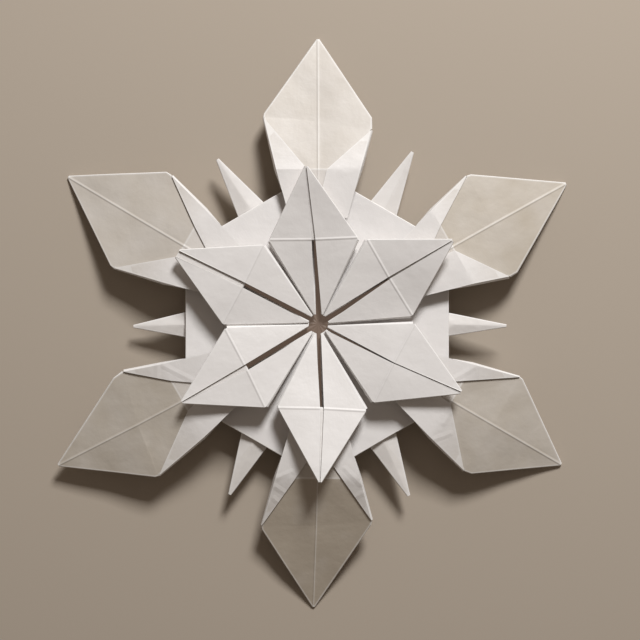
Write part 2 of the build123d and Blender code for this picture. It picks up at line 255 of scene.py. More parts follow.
# Places that follow from the sizes
NECK_SLOPE = NECK_HALF / NECK_REACH
NECK_ANGLE = degrees(atan2(NECK_HALF, NECK_REACH))
SPIKE_SLOPE = SPIKE_HALF / (SPIKE_REACH - PLATE_REACH)
NOTCH_SLOPE = tan(radians(SECTOR / 2 - NECK_ANGLE))
NOTCH_REACH = SPIKE_SLOPE * SPIKE_REACH / (NOTCH_SLOPE + SPIKE_SLOPE)
NOTCH_HALF = NOTCH_REACH * NOTCH_SLOPE
NOTCH_RADIUS = hypot(NOTCH_REACH, NOTCH_HALF)
PLATE_CORNER = PLATE_REACH / cos(radians(SECTOR / 2))
SLIT_END = PLATE_CORNER * SLIT_END_SHARE
ROOT_RADIUS = (PLATE_REACH + SLEEVE_GAP) / cos(radians(SECTOR / 2 - NECK_ANGLE))
ROOT_REACH = ROOT_RADIUS * cos(radians(NECK_ANGLE))
ROOT_HALF = ROOT_REACH * NECK_SLOPE


def turned(axial, lateral, height, angle):
    """A point given along and across a direction, turned to that direction."""
    along, across = cos(radians(angle)), sin(radians(angle))
    return axial * along - lateral * across, axial * across + lateral * along, height


class Sector:
    """One sixth of the sheet: its arm lies along +X, and its panels share named corners."""

    def __init__(self, number=None):
        self.number = number
        self.names = {}
        self.points = []
        self.panels = []
        self.strips = []
        self.creases = set()

    def own(self, name):
        return mark(name, self.number)

    def corner(self, name, point):
        """The number of a named corner; a point is only kept for a name that is new."""
        if name not in self.names:
            self.names[name] = len(self.points)
            self.points.append(np.array(point, float))
        return self.names[name]

    def panel(self, kind, side, *corners):
        self.panels.append(((kind, side), corners))

    def crease(self, *corners):
        self.creases.update(frozenset(pair) for pair in zip(corners, corners[1:]))

    def fold(self, lower, upper, outward, end_share=1):
        """A rounded strip that joins the edges of two panels, bulging outward in plan.

        At the last corner, only the given share of the bulge is left.
        """
        outward = np.array((*outward, 0.0)) / hypot(*outward)
        rows = [list(lower)]
        for step in range(1, FOLD_STEPS):
            share = step / FOLD_STEPS
            row = []
            for low, high in zip(lower, upper):
                height = np.linalg.norm(self.points[high] - self.points[low])
                bulge = min(height * FOLD_BULGE_SHARE, FOLD_BULGE_MOST) * sin(pi * share)
                if low == lower[-1]:
                    bulge *= end_share
                point = between(self.points[low], self.points[high], share) + outward * bulge
                row.append(self.corner(("fold", low, high, step), point))
            rows.append(row)
        rows.append(list(upper))
        for first, second in zip(rows, rows[1:]):
            for place in range(len(lower) - 1):
                self.strips.append((first[place], first[place + 1], second[place + 1], second[place]))

    def arm_height(self, axial, layer):
        """The layers spring open over the plate's corner and close up towards the wide corners."""
        closing_share = share_past(axial, NECK_REACH, WIDE_REACH)
        slope_share = share_past(axial, WIDE_REACH, TIP_REACH)
        tip_height = PAPER / 2 + TIP_LIFT * self.own("tip_lift")
        neck_front = CENTRE_LIFT + ROOT * LAYER_GAP + NECK_LIFT
        wide_share = share_past(WIDE_REACH, NECK_REACH, TIP_REACH)
        wide_front = between(neck_front, tip_height + LAYER_GAP, wide_share)
        height = between(CENTRE_LIFT, wide_front - LAYER_GAP, closing_share)
        height = between(height, tip_height, slope_share)
        if layer < ROOT:
            return height + layer * LAYER_GAP
        sprung = between(HINGE_LIFT * self.own("hinge_lift"), NECK_LIFT,
                         share_past(axial, PETAL_HINGE, NECK_REACH))
        closed_layer = layer - ROOT + 1
        return height + between(layer * LAYER_GAP + sprung, closed_layer * LAYER_GAP, closing_share)

    def arm_point(self, axial, lateral, layer):
        """A point of the arm; one folded askew turns more and more towards its tip."""
        pull_share = share_past(axial, NOTCH_RADIUS, TIP_REACH)
        reach = axial * between(1, self.own("arm_reach"), pull_share)
        return turned(reach, lateral, self.arm_height(axial, layer), self.own("arm_swing") * pull_share)

    def spike_point(self, side, axial, lateral, layer):
        """A point of the spike on one side of the arm, or of the plate over it."""
        spike = self.number if self.number is None or side > 0 else self.number - 1
        if layer > SPIKE_FRONT:
            side_share = share_past(axial, NOTCH_REACH, PLATE_REACH)
            reach = axial * between(1, mark("plate_reach", spike), side_share)
            return turned(reach, -side * lateral, CENTRE_LIFT + layer * LAYER_GAP, side * SECTOR / 2)
        pull_share = share_past(axial, NOTCH_REACH, SPIKE_REACH)
        reach = axial * between(1, mark("spike_reach", spike), pull_share)
        lateral *= between(1, mark("spike_half", spike), share_past(axial, NOTCH_REACH, PLATE_REACH))
        drop = SPIKE_DROP * mark("spike_drop", spike) * share_past(axial, PLATE_REACH, SPIKE_REACH)
        angle = side * SECTOR / 2 + mark("spike_swing", spike) * pull_share
        return turned(reach, -side * lateral, CENTRE_LIFT + layer * LAYER_GAP - drop, angle)

    def petal_point(self, axial, lateral, layer):
        """A point of the petal, whose hinge line slipped and turned a little and whose tip swung."""
        inner_share = share_past(axial, HEART_RADIUS, PETAL_HINGE)
        outer_share = share_past(axial, PETAL_HINGE, PETAL_REACH)
        sprung = between(HINGE_LIFT * self.own("hinge_lift") * inner_share,
                         PETAL_LIFT * self.own("petal_lift"), outer_share)
        swung = PETAL_REACH * tan(radians(self.own("petal_swing")))
        turn = tan(radians(self.own("petal_turn"))) * inner_share * (1 - outer_share)
        across = lateral + between(PETAL_SLIP * self.own("petal_slip") * inner_share, swung, outer_share)
        return axial - lateral * turn, across, CENTRE_LIFT + layer * LAYER_GAP + sprung

    def slit_corner(self, side, name, axial, layer):
        """A corner beside the slit, which narrows from the middle of the sheet to the hinge."""
        share = share_past(axial, HEART_RADIUS, PETAL_HINGE)
        half = between(SLIT_HALF * self.own("slit"), HINGE_SLIT_HALF * self.own("hinge_slit"), share)
        slip = PETAL_SLIP * self.own("petal_slip") * share
        return self.corner((name, side), (axial, slip + side * half, CENTRE_LIFT + layer * LAYER_GAP))


def along_edge(start, end, distance):
    """The place a distance along an edge from its start."""
    share = distance / hypot(end[0] - start[0], end[1] - start[1])
    return between(start[0], end[0], share), between(start[1], end[1], share)


def raised(point, height):
    return point[0], point[1], point[2] + height


def arm_half(sector, side):
    """One half of an arm: back, front and the flap folded over the front."""

    def put(name, axial, lateral, layer, lift=0):
        key = (name, side) if lateral else name
        return sector.corner(key, raised(sector.arm_point(axial, side * lateral, layer), lift))

    hand = 0 if side > 0 else 1
    cup = sector.own("arm_cup")
    tip, neck = (TIP_REACH, TIP_HALF), (NECK_REACH, NECK_HALF)
    wide = (WIDE_REACH * sector.own("wide_reach")[hand], WIDE_HALF)
    wide_outer = along_edge(wide, tip, WIDE_CUT * sector.own("wide_cut")[hand])
    wide_inner = along_edge(wide, neck, WIDE_CUT * sector.own("neck_cut")[hand])
    wide_cut = tuple(between(outer, inner, TUCK_SHARE) for outer, inner in zip(wide_outer, wide_inner))

    centre = sector.corner("centre", (0, 0, CENTRE_LIFT))
    notch = sector.corner(("notch", side), sector.spike_point(side, NOTCH_REACH, NOTCH_HALF, 0))
    back_notch = put("back_notch", NOTCH_RADIUS, 0, 0)
    back_root = put("back_root", ROOT_REACH, 0, 0)
    back_neck = put("back_neck", NECK_REACH, 0, 0)
    back_wide = put("back_wide", WIDE_REACH, 0, 0, cup)
    back_tip = put("back_tip", TIP_REACH, 0, 0)
    root_edge = put("root_edge", ROOT_REACH, ROOT_HALF, 0)
    neck_edge = put("neck_edge", *neck, 0)
    wide_edge_inner = put("wide_edge_inner", *wide_inner, 0)
    wide_edge_cut = put("wide_edge_cut", *wide_cut, 0)
    wide_edge_outer = put("wide_edge_outer", *wide_outer, 0)
    tip_edge = put("tip_edge", *tip, 0)
    sector.panel("back", 0, centre, back_notch, notch)
    sector.panel("back", 0, back_notch, back_root, root_edge, notch)
    sector.panel("back", 0, back_root, back_neck, neck_edge, root_edge)
    sector.panel("back", 0, back_neck, back_wide, wide_edge_inner, neck_edge)
    sector.panel("back", 0, back_wide, wide_edge_outer, wide_edge_cut, wide_edge_inner)
    sector.panel("back", 0, back_wide, back_tip, tip_edge, wide_edge_outer)
    sector.crease(centre, back_notch, back_root, back_neck, back_wide, back_tip)
    sector.crease(back_neck, neck_edge)

    front_tip = put("front_tip", TIP_REACH, 0, ROOT)
    front_wide = put("front_wide", WIDE_REACH, 0, ROOT, cup)
    front_neck = put("front_neck", NECK_REACH, 0, ROOT)
    front_root = put("front_root", ROOT_REACH, 0, ROOT)
    front_tip_edge = put("front_tip_edge", *tip, ROOT)
    front_wide_outer = put("front_wide_outer", *wide_outer, ROOT)
    front_wide_cut = put("front_wide_cut", *wide_cut, ROOT)
    front_wide_inner = put("front_wide_inner", wide_inner[0], wide_inner[1] * WIDE_TUCK_SHARE, ROOT)
    front_neck_edge = put("front_neck_edge", NECK_REACH, NECK_HALF * TUCK_SHARE, ROOT)
    front_root_edge = put("front_root_edge", ROOT_REACH, ROOT_HALF * TUCK_SHARE, ROOT)
    hinge = sector.corner("hinge", sector.petal_point(PETAL_HINGE, 0, ROOT))
    hinge_edge = sector.corner(
        ("hinge_edge", side), sector.petal_point(PETAL_HINGE, side * (PETAL_HALF - RELIEF), ROOT))
    sector.panel("front", 0, front_wide, front_tip, front_tip_edge, front_wide_outer)
    sector.panel("front", 0, front_wide, front_wide_outer, front_wide_cut, front_wide_inner)
    sector.panel("front", 0, front_neck, front_wide, front_wide_inner, front_neck_edge)
    sector.panel("neck", 0, front_root, front_neck, front_neck_edge, front_root_edge)
    waist_reach = between(PETAL_HINGE, ROOT_REACH, WAIST_SHARE)
    front_waist = put("front_waist", waist_reach, WAIST_HALF, ROOT)
    sector.panel("root", 0, hinge, front_root, front_root_edge, front_waist)
    sector.panel("root", 0, hinge, front_waist, hinge_edge)
    sector.crease(hinge, front_root, front_neck, front_wide, front_tip)
    slant = (WIDE_HALF - TIP_HALF, side * (TIP_REACH - WIDE_REACH))
    sector.fold((tip_edge, wide_edge_outer, wide_edge_cut),
                (front_tip_edge, front_wide_outer, front_wide_cut), slant)

    inner_half = SEAM_HALF + FLAP_INNER_HALF * sector.own("flap")[hand]
    root_inner_half = between(SEAM_HALF, inner_half, FLAP_ROOT_SHARE)
    end_reach = between(PETAL_HINGE, PETAL_REACH, FLAP_END_SHARE)
    flap_wide = put("flap_wide", *wide_inner, FLAP)
    flap_neck = put("flap_neck", *neck, FLAP)
    flap_root = put("flap_root", ROOT_REACH, ROOT_HALF, FLAP)
    flap_end = put("flap_end", end_reach, end_reach * NECK_SLOPE, FLAP)
    flap_end_middle = put("flap_end_middle", end_reach, SEAM_HALF, FLAP)
    flap_root_middle = put("flap_root_middle", ROOT_REACH, root_inner_half, FLAP)
    flap_neck_middle = put("flap_neck_middle", NECK_REACH, inner_half, FLAP)
    sector.panel("flap", side, flap_neck_middle, flap_wide, flap_neck)
    sector.panel("flap", side, flap_root_middle, flap_neck_middle, flap_neck, flap_root)
    sector.panel("flap", side, flap_end_middle, flap_root_middle, flap_root, flap_end)
    slant = (NECK_HALF - WIDE_HALF, side * (WIDE_REACH - NECK_REACH))
    sector.fold((wide_edge_inner, neck_edge, root_edge), (flap_wide, flap_neck, flap_root), slant,
                FOLD_END_SHARE)


def spike_half(sector, side):
    """One half of the spike on the given side of the arm, and of the plate over it."""

    def put(name, axial, lateral, layer, lift=0):
        return sector.corner((name, side), raised(sector.spike_point(side, axial, lateral, layer), lift))

    spike_tip = (SPIKE_REACH, SPIKE_TIP_HALF)
    notch_outer = along_edge((NOTCH_REACH, NOTCH_HALF), spike_tip, RELIEF)
    out_share = share_past(PLATE_REACH, notch_outer[0], SPIKE_REACH)
    out_edge = tuple(between(near, far, out_share) for near, far in zip(notch_outer, spike_tip))
    centre, notch = sector.names["centre"], sector.names[("notch", side)]
    back_base = put("back_base", NOTCH_REACH, 0, 0)
    back_out = put("spike_out", PLATE_REACH, 0, 0)
    back_tip = put("spike_tip", SPIKE_REACH, 0, 0)
    back_tip_edge = put("spike_tip_edge", *spike_tip, 0)
    back_out_edge = put("spike_out_edge", *out_edge, 0, -SPIKE_RIDGE)
    back_notch_outer = put("spike_notch", *notch_outer, 0)
    sector.panel("back", 0, centre, notch, back_base)
    sector.panel("back", 0, back_base, notch, back_notch_outer)
    sector.panel("back", 0, back_base, back_notch_outer, back_out_edge, back_out)
    sector.panel("back", 0, back_out, back_out_edge, back_tip_edge, back_tip)
    sector.crease(centre, back_base, back_out, back_tip)
    front_base = put("front_base", NOTCH_REACH, 0, SPIKE_FRONT)
    front_out = put("front_out", PLATE_REACH, 0, SPIKE_FRONT)
    front_tip = put("front_spike_tip", SPIKE_REACH, 0, SPIKE_FRONT)
    front_tip_edge = put("front_spike_tip_edge", *spike_tip, SPIKE_FRONT)
    front_out_edge = put("front_out_edge", *out_edge, SPIKE_FRONT, -SPIKE_RIDGE)
    front_notch_outer = put("front_notch_outer", *notch_outer, SPIKE_FRONT)
    front_notch_inner = put("front_notch_inner", NOTCH_REACH, NOTCH_HALF - RELIEF, SPIKE_FRONT)
    sector.panel("spike", side, front_base, front_notch_inner, front_notch_outer)
    sector.panel("spike", side, front_base, front_notch_outer, front_out_edge, front_out)
    sector.panel("spike", side, front_out, front_out_edge, front_tip_edge, front_tip)
    slant = turned(NOTCH_HALF - SPIKE_TIP_HALF, -side * (SPIKE_REACH - NOTCH_REACH), 0, side * SECTOR / 2)
    sector.fold((back_notch_outer, back_out_edge, back_tip_edge),
                (front_notch_outer, front_out_edge, front_tip_edge), slant[:2])

    under_base = put("under_base", NOTCH_REACH, 0, PLATE_UNDER)
    under_side = put("under_side", PLATE_REACH, 0, PLATE_UNDER)
    side_half = PLATE_REACH * tan(radians(SECTOR / 2)) - RELIEF
    under_notch = put("under_notch", NOTCH_REACH, NOTCH_HALF - RELIEF, PLATE_UNDER)
    under_corner = put("under_corner", PLATE_REACH, side_half, PLATE_UNDER)
    sector.panel("plate_under", side, under_base, under_notch, under_corner, under_side)
    sector.crease(under_base, under_side)
    outward = turned(1, 0, 0, side * SECTOR / 2)[:2]
    sector.fold((front_base, front_notch_inner), (under_base, under_notch), (-outward[0], -outward[1]))

    plate_side = put("plate_side", PLATE_REACH, 0, PLATE)
    plate_heart = put("plate_heart", HEART_RADIUS, 0, PLATE)
    plate_corner_side = put("plate_corner_side", PLATE_REACH, side_half, PLATE)
    slit_inner = sector.slit_corner(side, "plate_slit", HEART_RADIUS, PLATE)
    slit_outer = sector.slit_corner(side, "plate_corner", SLIT_END, PLATE)
    sector.panel("plate", side, plate_side, plate_heart, slit_inner, slit_outer, plate_corner_side)
    sector.fold((under_side, under_corner), (plate_side, plate_corner_side), outward)
    under_inner = sector.slit_corner(side, "under_slit", HEART_RADIUS, PETAL_UNDER)
    under_outer = sector.slit_corner(side, "under_slit_end", SLIT_END, PETAL_UNDER)
    sector.fold((slit_inner, slit_outer), (under_inner, under_outer), (0, -side))


def petal_half(sector, side):
    """One half of a petal: top, the tongue under its tip and the layer under its foot."""

    def put(name, axial, lateral, layer, lift=0):
        key = (name, side) if lateral else name
        return sector.corner(key, raised(sector.petal_point(axial, side * lateral, layer), lift))

    inner_half = SLIT_HALF * sector.own("slit")
    seam = SEAM_HALF * sector.own("seam")
    foot = (HEART_RADIUS, inner_half + FOOT_HALF)
    corner = (PETAL_HINGE, PETAL_HALF)
    tip = (PETAL_REACH, PETAL_TIP_HALF + seam)
    corner_inner = along_edge(corner, foot, RELIEF)
    corner_outer = along_edge(corner, tip, RELIEF)
    under_inner, under_outer = (sector.names[(name, side)] for name in ("under_slit", "under_slit_end"))
    under_foot = put("under_foot", *foot, PETAL_UNDER)
    under_corner = put("under_petal_corner", *corner_inner, PETAL_UNDER)
    sector.panel("petal_under", side, under_inner, under_outer, under_corner, under_foot)

    top_foot = put("top_foot", *foot, PETAL_UNDER + 1)
    top_slit = put("top_slit", HEART_RADIUS, inner_half, PETAL_UNDER + 1)
    top_hinge = put("top_hinge", PETAL_HINGE, HINGE_SLIT_HALF * sector.own("hinge_slit"), PETAL, PETAL_RIDGE)
    top_corner_inner = put("top_corner_inner", *corner_inner, PETAL)
    top_corner_outer = put("top_corner_outer", *corner_outer, PETAL)
    top_tip = put("top_tip", *tip, PETAL)
    top_seam = put("top_seam", PETAL_REACH, seam, PETAL, PETAL_RIDGE / 2)
    sector.panel("petal", side, top_slit, top_hinge, top_corner_inner, top_foot)
    sector.panel("petal", side, top_hinge, top_corner_outer, top_corner_inner)
    sector.panel("petal", side, top_hinge, top_seam, top_tip, top_corner_outer)
    sector.crease(top_hinge, top_corner_outer)
    slant = (foot[1] - PETAL_HALF, side * (PETAL_HINGE - HEART_RADIUS))
    sector.fold((under_foot, under_corner), (top_foot, top_corner_inner), slant)

    tongue_hinge = put("tongue_hinge", PETAL_HINGE, 0, TONGUE)
    tongue_tip = put("tongue_tip", PETAL_REACH, 0, TONGUE)
    tongue_edge = put("tongue_edge", PETAL_HINGE, PETAL_HALF - RELIEF, TONGUE)
    tongue_corner = put("tongue_corner", *corner_outer, TONGUE)
    tongue_side = put("tongue_side", *tip, TONGUE)
    sector.panel("tongue", 0, tongue_hinge, tongue_edge, tongue_corner)
    sector.panel("tongue", 0, tongue_hinge, tongue_corner, tongue_side, tongue_tip)
    slant = (PETAL_HALF - tip[1], side * (PETAL_REACH - PETAL_HINGE))
    sector.fold((tongue_corner, tongue_side), (top_corner_outer, top_tip), slant)
    hinge, hinge_edge = sector.names["hinge"], sector.names[("hinge_edge", side)]
    sector.fold((hinge, hinge_edge), (tongue_hinge, tongue_edge), (-1, 0))


def make_sector(number=None):
    sector = Sector(number)
    for side in (1, -1):
        arm_half(sector, side)
        spike_half(sector, side)
        petal_half(sector, side)
    return sector


def cut_up(sector):
    """Triangles of the panels and strips, halved along their long edges until all are short.

    Each new point is given as the pair of points it lies midway between.
    """
    points, parents = list(sector.points), []
    triangles, groups = [], []
    for group, corners in sector.panels:
        for second, third in zip(corners[1:], corners[2:]):
            triangles.append((corners[0], second, third))
            groups.append(group)
    for corners in sector.strips:
        triangles += [corners[:3], (corners[0], corners[2], corners[3])]
        groups += [("strip", 0)] * 2
    while True:
        halves = {}
        next_triangles, next_groups = [], []
        for names, group in zip(triangles, groups):
            pairs = list(zip(names, names[1:] + names[:1]))
            lengths = [np.linalg.norm(points[first] - points[second]) for first, second in pairs]
            turn = int(np.argmax(lengths))
            a, b, c = names[turn:] + names[:turn]
            key = frozenset((a, b))
            if lengths[turn] > FACET_LENGTH and key not in halves:
                halves[key] = len(points)
                points.append((points[a] + points[b]) / 2)
                parents.append((a, b))
            half = halves.get(key)
            pieces = [(a, b, c)] if half is None else [(a, half, c), (half, b, c)]
            next_triangles += pieces
            next_groups += [group] * len(pieces)
        triangles, groups = mend_gaps(next_triangles, next_groups, halves)
        if not halves:
            return np.array(points), parents, triangles, groups


def mend_gaps(triangles, groups, halves):
    """Splits each triangle that has an edge its neighbour has halved."""
    done, done_groups = [], []
    waiting = list(zip(triangles, groups))
    while waiting:
        (a, b, c), group = waiting.pop()
        for p, q, r in ((a, b, c), (b, c, a), (c, a, b)):
            half = halves.get(frozenset((p, q)))
            if half is not None:
                waiting += [((p, half, r), group), ((half, q, r), group)]
                break
        else:
            done.append((a, b, c))
            done_groups.append(group)
    return done, done_groups


def with_midpoints(points, parents):
    """A sector's corners, and after them the points midway between each pair."""
    every = list(points)
    for first, second in parents:
        every.append((every[first] + every[second]) / 2)
    return np.array(every)


def facing_alike(triangles):
    """The same triangles, each turned so that neighbours keep to one side of the paper."""
    neighbours = {}
    for index, names in enumerate(triangles):
        for first, second in zip(names, names[1:] + names[:1]):
            neighbours.setdefault(frozenset((first, second)), []).append(index)
    facing = {0: triangles[0]}
    waiting = [0]
    while waiting:
        names = facing[waiting.pop()]
        for first, second in zip(names, names[1:] + names[:1]):
            for index in neighbours[frozenset((first, second))]:
                if index in facing:
                    continue
                other = triangles[index]
                same_way = (first, second) in zip(other, other[1:] + other[:1])
                facing[index] = other[::-1] if same_way else other
                waiting.append(index)
    return [facing[index] for index in range(len(triangles))]


def distances_to_lines(places, lines):
    """The distance from each place to the nearest of some straight lines."""
    nearest = np.full(len(places), FAR)
    for start, end in lines:
        run = end - start
        share = np.clip((places - start) @ run / (run @ run), 0, 1)
        nearest = np.minimum(nearest, np.linalg.norm(places - start - share[:, None] * run, axis=1))
    return nearest


def edge_distances(sector, points, triangles, groups):
    """For each point, its distance to the nearest edge and the nearest crease of its panel."""
    edge_gap, crease_gap = np.full(len(points), FAR), np.full(len(points), FAR)
    on_border = {index for name, index in sector.names.items()
                 if name in BORDER_CORNERS or name[0] in BORDER_CORNERS}
    for group in dict.fromkeys(group for group, corners in sector.panels):
        counts = {}
        for other, corners in sector.panels:
            if other == group:
                for pair in zip(corners, corners[1:] + corners[:1]):
                    counts.setdefault(frozenset(pair), [pair, 0])[1] += 1
        edges = [pair for pair, count in counts.values() if count == 1 and not set(pair) <= on_border]
        creases = [pair for key, (pair, count) in counts.items() if key in sector.creases]
        used = sorted({corner for names, other in zip(triangles, groups) if other == group
                       for corner in names})
        for pairs, gaps in ((edges, edge_gap), (creases, crease_gap)):
            lines = [(sector.points[first], sector.points[second]) for first, second in pairs]
            gaps[used] = np.minimum(gaps[used], distances_to_lines(points[used], lines))
    on_strips = sorted({corner for names, group in zip(triangles, groups) if group[0] == "strip"
                        for corner in names})
    edge_gap[on_strips] = 0
    return edge_gap, crease_gap


def add_attribute(mesh, name, values, kind="FLOAT", domain="POINT"):
    mesh.attributes.new(name, kind, domain).data.foreach_set("value", values)


def make_sector_mesh(sector):
    """The mesh of the plain sector's paper, with no thickness yet, and its midpoints' parents."""
    points, parents, triangles, groups = cut_up(sector)
    edge_gap, crease_gap = edge_distances(sector, points, triangles, groups)
    mesh = bpy.data.meshes.new("sector")
    mesh.from_pydata((points * MM).tolist(), [], facing_alike(triangles))
    add_attribute(mesh, "edge_gap", edge_gap)
    add_attribute(mesh, "crease_gap", crease_gap)
    add_attribute(mesh, "place", np.arange(len(points)), "INT")
    add_attribute(mesh, "panel", [PANELS.index(kind) for kind, side in groups], "INT", "FACE")
    return mesh, parents


class Value:
    """A node's output; sums and products of it make the nodes that work them out."""

    def __init__(self, graph, socket):
        self.graph = graph
        self.socket = socket

    def __add__(self, other):
        return self.graph.maths("ADD", self, other)

    def __sub__(self, other):
        return self.graph.maths("SUBTRACT", self, other)

    def __mul__(self, other):
        return self.graph.maths("MULTIPLY", self, other)

    def __truediv__(self, other):
        return self.graph.maths("DIVIDE", self, other)

    def __radd__(self, other):
        return self.graph.maths("ADD", other, self)

    def __rsub__(self, other):
        return self.graph.maths("SUBTRACT", other, self)

    def __rmul__(self, other):
        return self.graph.maths("MULTIPLY", other, self)

    def __rtruediv__(self, other):
        return self.graph.maths("DIVIDE", other, self)


class Graph:
    """Builds the nodes of a tree."""

    def __init__(self, tree):
        self.tree = tree

    def node(self, kind, settings=None, sockets=None, output=0):
        """A node with its settings made first, then its inputs set or linked; one output of it."""
        made = self.tree.nodes.new(kind)
        for name, value in (settings or {}).items():
            setattr(made, name, value)
        for name, value in (sockets or {}).items():
            self.give(made.inputs[name], value)
        return Value(self, made.outputs[output]) if made.outputs else None

    def give(self, socket, value):
        if isinstance(value, Value):
            self.tree.links.new(value.socket, socket)
        else:
            socket.default_value = value

    def maths(self, operation, *values):
        return self.node("ShaderNodeMath", {"operation": operation}, dict(enumerate(values)))

    def attribute(self, name):
        return self.node("ShaderNodeAttribute", {"attribute_name": name}, output="Fac")

    def mix(self, share, first, second):
        """A colour a share of the way from the first to the second."""
        sockets = {MIX_SHARE: share, MIX_FIRST: first, MIX_SECOND: second}
        return self.node("ShaderNodeMix", {"data_type": "RGBA"}, sockets, MIX_OUTPUT)

    def fading(self, value, start, end):
        """One up to the start, falling smoothly to none at the end."""
        sockets = {"Value": value, "From Min": start, "From Max": end, "To Min": 1.0, "To Max": 0.0}
        return self.node("ShaderNodeMapRange", {"interpolation_type": "SMOOTHSTEP"}, sockets)

    def noise(self, place, scale, detail):
        return self.node("ShaderNodeTexNoise", None, {"Vector": place, "Scale": scale, "Detail": detail})

    def distance_to_line(self, across, along, start, end):
        """In plan, the distance from a place to the straight line between two others."""
        run = (end[0] - start[0], end[1] - start[1])
        length = hypot(*run)
        ahead = ((across - start[0]) * run[0] + (along - start[1]) * run[1]) / length ** 2
        share = self.maths("MINIMUM", self.maths("MAXIMUM", ahead, 0.0), 1.0)
        gap_across = across - start[0] - share * run[0]
        gap_along = along - start[1] - share * run[1]
        return self.maths("SQRT", gap_across * gap_across + gap_along * gap_along)


def sheet_tree():
    """Geometry Nodes: turns one sector round the middle and buckles the paper."""
    tree = bpy.data.node_groups.new("Sheet from a sector", "GeometryNodeTree")
    inputs = {}
    tree.interface.new_socket("Geometry", in_out="INPUT", socket_type="NodeSocketGeometry")
    for name, kind in (("Arms", "NodeSocketInt"), ("First arm", "NodeSocketFloat"),
                       ("Buckle height", "NodeSocketFloat"), ("Buckles per metre", "NodeSocketFloat"),
                       ("Seed", "NodeSocketFloat"), ("Paper", "NodeSocketMaterial")):
        inputs[name] = tree.interface.new_socket(name, in_out="INPUT", socket_type=kind).identifier
    tree.interface.new_socket("Geometry", in_out="OUTPUT", socket_type="NodeSocketGeometry")
    graph = Graph(tree)
    given_sockets = tree.nodes.new("NodeGroupInput").outputs
    given = {socket.name: Value(graph, socket) for socket in given_sockets if socket.name}
    index = graph.node("GeometryNodeInputIndex")
    angle = index * (2 * pi / given["Arms"]) + given["First arm"]
    copies = graph.node("GeometryNodeInstanceOnPoints", None, {
        "Points": graph.node("GeometryNodePoints", None, {"Count": given["Arms"]}),
        "Instance": given["Geometry"],
        "Rotation": graph.node("ShaderNodeCombineXYZ", None, {"Z": angle})})
    numbered = graph.node("GeometryNodeStoreNamedAttribute", {"data_type": "INT", "domain": "INSTANCE"},
                          {"Geometry": copies, "Name": "arm", "Value": index})
    real = graph.node("GeometryNodeRealizeInstances", None, {"Geometry": numbered})
    place = graph.node("GeometryNodeInputPosition")
    across, along = (graph.node("ShaderNodeSeparateXYZ", None, {"Vector": place}, axis) for axis in "XY")
    plan = graph.node("ShaderNodeCombineXYZ", None, {"X": across, "Y": along, "Z": given["Seed"]})
    noise = graph.noise(plan, given["Buckles per metre"], BUCKLE_DETAIL)
    height = (noise - NOISE_MIDDLE) * given["Buckle height"]
    offset = graph.node("ShaderNodeCombineXYZ", None, {"Z": height})
    buckled = graph.node("GeometryNodeSetPosition", None, {"Geometry": real, "Offset": offset})
    finished = graph.node("GeometryNodeSetMaterial", None, {"Geometry": buckled, "Material": given["Paper"]})
    graph.node("NodeGroupOutput", None, {0: finished})
    return tree, inputs


def plain_mesh(piece, name):
    """The piece's mesh with its modifiers worked in."""
    graph = bpy.context.evaluated_depsgraph_get()
    mesh = bpy.data.meshes.new_from_object(piece.evaluated_get(graph), depsgraph=graph)
    mesh.name = name
    return mesh


def read_values(items, name, shape=1):
    values = np.empty(len(items) * shape)
    items.foreach_get(name, values)
    return values.reshape(-1, shape) if shape > 1 else values


def set_own_marks(mesh, plain, parents):
    """Moves each arm's points from the plain sector's places to that arm's own."""
    places = read_values(mesh.vertices, "co", 3)
    arms = read_values(mesh.attributes["arm"].data, "value").astype(int)
    corners = read_values(mesh.attributes["place"].data, "value").astype(int)
    plain_points = with_midpoints(plain.points, parents)
    for number in range(ARM_COUNT):
        moves = (with_midpoints(make_sector(number).points, parents) - plain_points) * MM
        angle = radians(FIRST_ARM + number * SECTOR)
        turn = np.array(((cos(angle), sin(angle), 0), (-sin(angle), cos(angle), 0), (0, 0, 1)))
        mine = arms == number
        places[mine] += moves[corners[mine]] @ turn
    mesh.vertices.foreach_set("co", places.ravel())
    mesh.update()


def set_tones(mesh):
    """Gives each face a tone by its panel and arm: a painted see-through tone, each arm's painted shade, and
    painted shade on the slits' floors.
    """
    panels = read_values(mesh.attributes["panel"].data, "value").astype(int)
    upward = read_values(mesh.polygons, "normal", 3)[:, 2] > 0
    centres = read_values(mesh.polygons, "center", 3)
    radius = np.linalg.norm(centres[:, :2], axis=1)
    turns = np.degrees(np.arctan2(centres[:, 1], centres[:, 0])) - FIRST_ARM
    arms = np.rint(turns / SECTOR).astype(int) % ARM_COUNT
    # Each panel's painted see-through tone, times the painted shade of its arm's sector
    tones = np.array([TONES.get(kind, 0) for kind in PANELS])[panels] * MARKS["arm_painted_shade"][arms]
    # The back's upward faces under the slits are painted in shade
    slit_floor_shade = (panels == PANELS.index("back")) & upward & (radius < PLATE_REACH * MM)
    tones[slit_floor_shade] = SLIT_SHADE_TONE
    # A flap gets more painted see-through tone past the neck
    past_neck = np.clip((radius / MM - NECK_REACH) / (WIDE_REACH - NECK_REACH), 0, 1)
    tones += np.where(panels == PANELS.index("flap"), FLAP_SEE_THROUGH_GAIN * past_neck, 0)
    add_attribute(mesh, "tone", tones, domain="FACE")


